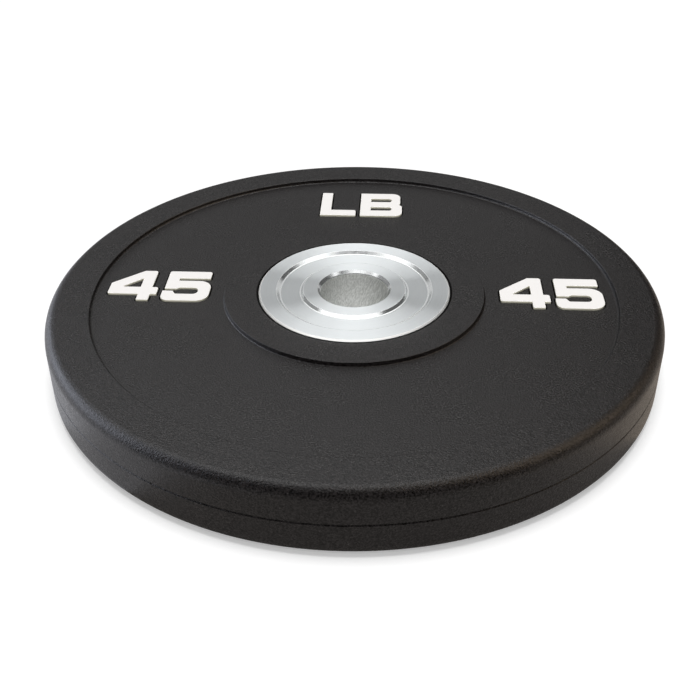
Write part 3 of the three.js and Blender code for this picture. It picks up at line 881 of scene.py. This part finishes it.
# Softboxes: name, place, point aimed at, width and height, brightness, colour. The two left floor
# panels overlap, so that their edges show as a soft one. They and the right one lie face up on the
# paper and give the wall the light that a white floor throws back.
BODY_SOFTBOXES = [
    ("overhead_softbox", (-0.3, 0.6, 1.5), (-0.3, 0.6, 0), (1.6, 0.7), 2.7, NEUTRAL),
    ("back_softbox", (-0.55, 1.6, 1.2), (-0.55, 0, 1.2), (2.5, 1.9), 0.38, NEUTRAL),
    ("left_softbox", (-1.88, 0.5, 0.62), (0, 0, 0), (2.1, 1.0), 3.5, COOL),
    ("upper_left_softbox", (-1.5, 0.2, 1.4), (0, 0, 0), (0.9, 0.7), 2.3, PALE_COOL),
    ("left_floor_panel", (-0.55, -0.1, 0.0006), (-0.55, -0.1, 1), (0.7, 0.9), 0.35, PALE_COOL),
    ("left_near_floor_panel", (-0.52, -0.1, 0.0007), (-0.52, -0.1, 1), (0.76, 0.9), 0.35,
     PALE_COOL),
    ("right_floor_panel", (0.55, -0.1, 0.0006), (0.55, -0.1, 1), (0.7, 0.9), 0.27, WARM),
    ("right_softbox", (1.45, 0.1, 1.4), (0, 0, 0), (1.8, 1.9), 1.1, WARM)]
HUB_SOFTBOXES = [
    ("hub_back_softbox", (-0.1, 1.7, 1.0), (-0.1, 0, 1.0), (3.2, 2.0), 1.05, NEUTRAL),
    ("hub_top_softbox", (-0.1, 0.5, 1.6), (-0.1, 0.5, 0), (3.8, 2.2), 2.4, NEUTRAL),
    ("hub_left_softbox", (-1.9, 0.3, 0.7), (0, 0, 0), (2.4, 1.0), 0.5, NEUTRAL),
    ("hub_right_softbox", (1.9, 0.3, 0.7), (0, 0, 0), (2.4, 1.0), 0.18, NEUTRAL),
    ("hub_front_softbox", (-0.4, -1.2, 1.1), (-0.3, 0, 0), (5.8, 1.1), 2.45, NEUTRAL)]


def grey(level):
    """An even grey as linear red, green, blue and alpha."""
    return level, level, level, 1


def background_rays(tree):
    """1 for rays that show a background: those of the camera, of gloss and of glass."""
    path = add(tree, "ShaderNodeLightPath")
    pair = add(tree, "ShaderNodeMath", {"operation": "MAXIMUM"}, i0=path.outputs["Is Camera Ray"],
               i1=path.outputs["Is Glossy Ray"])
    rays = add(tree, "ShaderNodeMath", {"operation": "MAXIMUM"}, i0=pair.outputs[0],
               i1=path.outputs["Is Transmission Ray"])
    return rays.outputs[0]


def make_world():
    """White where a background shows, and a dimmer even light for everything else."""
    world = bpy.data.worlds.new("white_studio")
    world.use_nodes = True
    tree = world.node_tree
    background = tree.nodes["Background"]
    colour = add(tree, "ShaderNodeMix", {"data_type": "RGBA"}, i0=background_rays(tree),
                 i6=grey(WORLD_LEVEL), i7=grey(1))
    tree.links.new(colour.outputs[2], background.inputs["Color"])
    background.inputs["Strength"].default_value = 1
    bpy.context.scene.world = world


def floor_material():
    """White paper, which takes the plate's shadow: a diffuse white, and a glow for the rays that
    show it, so that it meets the white background without an edge."""
    material = bpy.data.materials.new("white_paper_floor")
    material.use_nodes = True
    tree = material.node_tree
    tree.nodes.clear()
    diffuse = add(tree, "ShaderNodeBsdfDiffuse", Color=grey(PAPER_LEVEL))
    glow = add(tree, "ShaderNodeMath", {"operation": "MULTIPLY"}, i0=background_rays(tree),
               i1=PAPER_GLOW)
    light = add(tree, "ShaderNodeEmission", Strength=glow.outputs[0])
    both = add(tree, "ShaderNodeAddShader", i0=diffuse.outputs[0], i1=light.outputs[0])
    add(tree, "ShaderNodeOutputMaterial", Surface=both.outputs[0])
    return material


def cloth(name, hex_colour):
    """Woven cloth without a sheen. Only dim reflections show it, so it has one plain colour."""
    material, _, shader = new_material(name)
    shader.inputs["Base Color"].default_value = linear(hex_colour)
    shader.inputs["Roughness"].default_value = 1
    shader.inputs["Specular IOR Level"].default_value = 0
    return material


def stand(name, patch, material, only_in_gloss):
    """Adds a thing of the stage; one that only gloss sees throws no shadow either."""
    points, faces = patch
    mesh = bpy.data.meshes.new(name)
    mesh.from_pydata(points.tolist(), [], faces.tolist())
    mesh.materials.append(material)
    thing = bpy.data.objects.new(name, mesh)
    bpy.context.scene.collection.objects.link(thing)
    if only_in_gloss:
        thing.visible_camera = thing.visible_diffuse = thing.visible_shadow = False


def make_stage():
    """A square floor, and two cloths that only gloss sees: grey on the floor and a black drape
    round it, open above."""
    half = FLOOR_SIZE / 2
    square = np.array([(-half, -half, 0), (half, -half, 0), (half, half, 0), (-half, half, 0)])
    paper = square, np.array([(0, 1, 2, 3)])
    stand("paper_floor", paper, floor_material(), only_in_gloss=False)
    drape = lathed([(DRAPE_RADIUS, CLOTH_LIFT), (DRAPE_RADIUS, DRAPE_TOP)], False, DRAPE_TURNS)
    stand("drape", drape, cloth("black_velvet_drape", "#050505"), only_in_gloss=True)
    rings = [circle(DRAPE_RADIUS, DRAPE_TURNS), circle(HUB_RADIUS, DRAPE_TURNS)]
    stand("floor_cloth", filled(rings, CLOTH_LIFT), cloth("grey_floor_cloth", "#9B9692"),
          only_in_gloss=True)


def hang_lamp(data, place, aim, glossy, diffuse):
    """Places a lamp, aims it at a point and says which rays it reaches."""
    lamp = bpy.data.objects.new(data.name, data)
    turn = (Vector(aim) - Vector(place)).to_track_quat("-Z", "Y").to_matrix().to_4x4()
    lamp.matrix_world = Matrix.Translation(place) @ turn
    lamp.visible_camera = False
    lamp.visible_glossy = glossy
    lamp.visible_diffuse = diffuse
    bpy.context.scene.collection.objects.link(lamp)
    return lamp


def distant_lamp(name, place, level, angle):
    """A far round lamp for diffuse light only, as wide as its angle in degrees: at level 1 white
    paper that faces it renders white."""
    data = bpy.data.lights.new(name, "SUN")
    data.energy = level * math.pi
    data.angle = math.radians(angle)
    hang_lamp(data, place, (0, 0, 0), glossy=False, diffuse=True)


def softbox(name, place, aim, size, brightness, hex_colour, lit):
    """A flat lamp that only the gloss of some pieces sees, as bright as given: its power is pi
    times its area times that."""
    data = bpy.data.lights.new(name, "AREA")
    data.shape = "RECTANGLE"
    data.size, data.size_y = size
    data.energy = brightness * math.pi * size[0] * size[1]
    data.color = linear(hex_colour)[:3]
    receivers = bpy.data.collections.new(f"lit_by_{name}")
    for piece in lit:
        receivers.objects.link(piece)
    lamp = hang_lamp(data, place, aim, glossy=True, diffuse=False)
    lamp.light_linking.receiver_collection = receivers


def make_studio():
    """World, floor, cloths and lamps. Two distant lamps shade everything, and the softboxes are
    hung apart for the casting and for the hub."""
    make_world()
    make_stage()
    distant_lamp("overhead_lamp", (0, 0, 2), 0.61, 24)
    distant_lamp("front_lamp", (0.05, -1.4, 1.2), 0.36, 50)
    for settings in BODY_SOFTBOXES:
        softbox(*settings, lit=[body])
    for settings in HUB_SOFTBOXES:
        softbox(*settings, lit=hub)


make_camera()
make_studio()
bpy.context.scene.view_settings.view_transform = "Standard"
